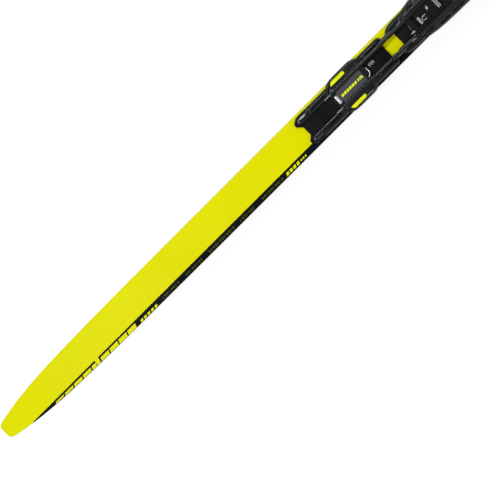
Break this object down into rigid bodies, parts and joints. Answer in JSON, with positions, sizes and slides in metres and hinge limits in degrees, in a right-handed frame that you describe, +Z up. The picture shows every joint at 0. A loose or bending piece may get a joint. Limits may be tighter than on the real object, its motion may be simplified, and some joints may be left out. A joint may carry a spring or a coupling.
{
  "type": "cross country ski",
  "caption": "Narrow skating ski with a layered body, cambered base and turned-up tip, carrying two mounting plates and a sliding step-in boot binding with a turning lock knob.",
  "frame": {"origin": "on the floor, under the middle of the ski's length and width", "axes": "+X runs from the tail to the tip, +Y is the skier's left, +Z is up"},
  "size_m": [1.71, 0.0516, 0.0625],
  "materials": {
    "topsheet": "gloss",
    "running_base": "satin",
    "sidewall": "satin",
    "laminate": "satin",
    "wood_core": "raw",
    "spacer": "matte",
    "adhesive": "matte",
    "plate": "satin",
    "binding_plastic": "satin",
    "label": "matte",
    "wing_insert": "satin",
    "steel": "satin",
    "flexor_rubber": "matte",
    "bronze": "satin"
  },
  "bodies": {
    "ski": {"running_base": "running_base", "lower_laminate": "laminate", "wood_core": "wood_core", "sidewall_left": "sidewall", "sidewall_right": "sidewall", "upper_laminate": "laminate", "topsheet": "topsheet", "tip_spacer": "spacer", "tail_spacer": "spacer", "rear_adhesive_film": "adhesive", "front_adhesive_film": "adhesive", "rear_plate": "plate", "front_plate": "plate"},
    "binding": {"heel_base": "binding_plastic", "wing_insert_left": "wing_insert", "wing_insert_right": "wing_insert", "heel_label_plate": "label", "heel_tongue_pin": "steel", "tongue_leaf_spring": "steel", "heel_wire_clip": "steel", "rail_coupler_left": "binding_plastic", "rail_coupler_right": "binding_plastic", "toe_base": "binding_plastic", "lock_pivot_pin": "steel", "lock_spring": "steel", "lock_cover": "binding_plastic", "side_rivet_left": "steel", "side_rivet_right": "steel", "jaw_block": "steel", "jaw_screw_left": "steel", "jaw_screw_right": "steel", "knob_bush": "bronze"},
    "heel_tongue": {"heel_tongue": "steel"},
    "lock_lever": {"lock_lever": "steel"},
    "knob": {"knob": "binding_plastic", "cam_disc": "steel", "knob_shaft": "steel", "shaft_clip": "steel"},
    "latch": {"toe_latch": "steel"},
    "flexor": {"flexor": "flexor_rubber"}
  },
  "joints": [
    {"name": "binding_slide", "type": "slide", "parent": "ski", "child": "binding", "axis": [1, 0, 0], "range_m": [-0.012, 0.012]},
    {"name": "knob_turn", "type": "hinge", "parent": "binding", "child": "knob", "pos_m": [-0.0385, 0, 0.0545], "axis": [0, 0, 1], "range_deg": [0, 90]},
    {"name": "latch_slide", "type": "slide", "parent": "binding", "child": "latch", "axis": [1, 0, 0], "range_m": [0, 0.004]},
    {"name": "lock_lever_pivot", "type": "hinge", "parent": "binding", "child": "lock_lever", "pos_m": [-0.1835, 0, 0.0481], "axis": [0, -1, 0], "range_deg": [0, 6], "stiffness_Nm_per_rad": 0.05, "springref_deg": -11.46},
    {"name": "heel_tongue_pivot", "type": "hinge", "parent": "binding", "child": "heel_tongue", "pos_m": [-0.3175, 0, 0.0484], "axis": [0, 1, 0], "range_deg": [0, 10], "stiffness_Nm_per_rad": 0.03, "springref_deg": -11.46},
    {"name": "flexor_lift", "type": "slide", "parent": "binding", "child": "flexor", "axis": [0, 0, 1], "range_m": [0, 0.018]}
  ],
  "couplings": [
    {"joint": "knob_turn", "follows": "latch_slide", "rad_per_m": 392.7}
  ]
}
